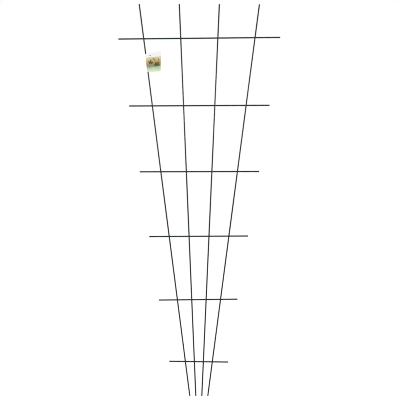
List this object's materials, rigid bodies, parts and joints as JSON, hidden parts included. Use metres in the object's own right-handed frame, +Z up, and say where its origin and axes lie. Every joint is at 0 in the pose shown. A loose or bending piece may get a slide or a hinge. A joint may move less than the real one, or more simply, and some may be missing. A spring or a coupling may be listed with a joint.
{
  "type": "fan trellis",
  "caption": "Fan-shaped garden trellis of welded, coated steel wire with prongs at the foot and a small folded label, for climbing plants.",
  "frame": {"origin": "midway between the tips of the prongs, on the ground, in the plane where the two layers of wire meet", "axes": "+Z up the fan's middle line, +X to the viewer's right along the crossbars, -Y towards the viewer in front"},
  "size_m": [0.6, 0.0106, 1.5],
  "materials": {
    "coated_wire": "satin",
    "coated_weld": "satin",
    "label_card": "satin"
  },
  "bodies": {
    "root": {"upright_outer_left": "coated_wire", "upright_inner_left": "coated_wire", "upright_inner_right": "coated_wire", "upright_outer_right": "coated_wire", "crossbar_1": "coated_wire", "crossbar_2": "coated_wire", "crossbar_3": "coated_wire", "crossbar_4": "coated_wire", "crossbar_5": "coated_wire", "crossbar_6": "coated_wire", "weld_1_outer_left": "coated_weld", "weld_1_inner_left": "coated_weld", "weld_1_inner_right": "coated_weld", "weld_1_outer_right": "coated_weld", "weld_2_outer_left": "coated_weld", "weld_2_inner_left": "coated_weld", "weld_2_inner_right": "coated_weld", "weld_2_outer_right": "coated_weld", "weld_3_outer_left": "coated_weld", "weld_3_inner_left": "coated_weld", "weld_3_inner_right": "coated_weld", "weld_3_outer_right": "coated_weld", "weld_4_outer_left": "coated_weld", "weld_4_inner_left": "coated_weld", "weld_4_inner_right": "coated_weld", "weld_4_outer_right": "coated_weld", "weld_5_outer_left": "coated_weld", "weld_5_inner_left": "coated_weld", "weld_5_inner_right": "coated_weld", "weld_5_outer_right": "coated_weld", "weld_6_outer_left": "coated_weld", "weld_6_inner_left": "coated_weld", "weld_6_inner_right": "coated_weld", "weld_6_outer_right": "coated_weld", "label": "label_card"}
  },
  "joints": []
}
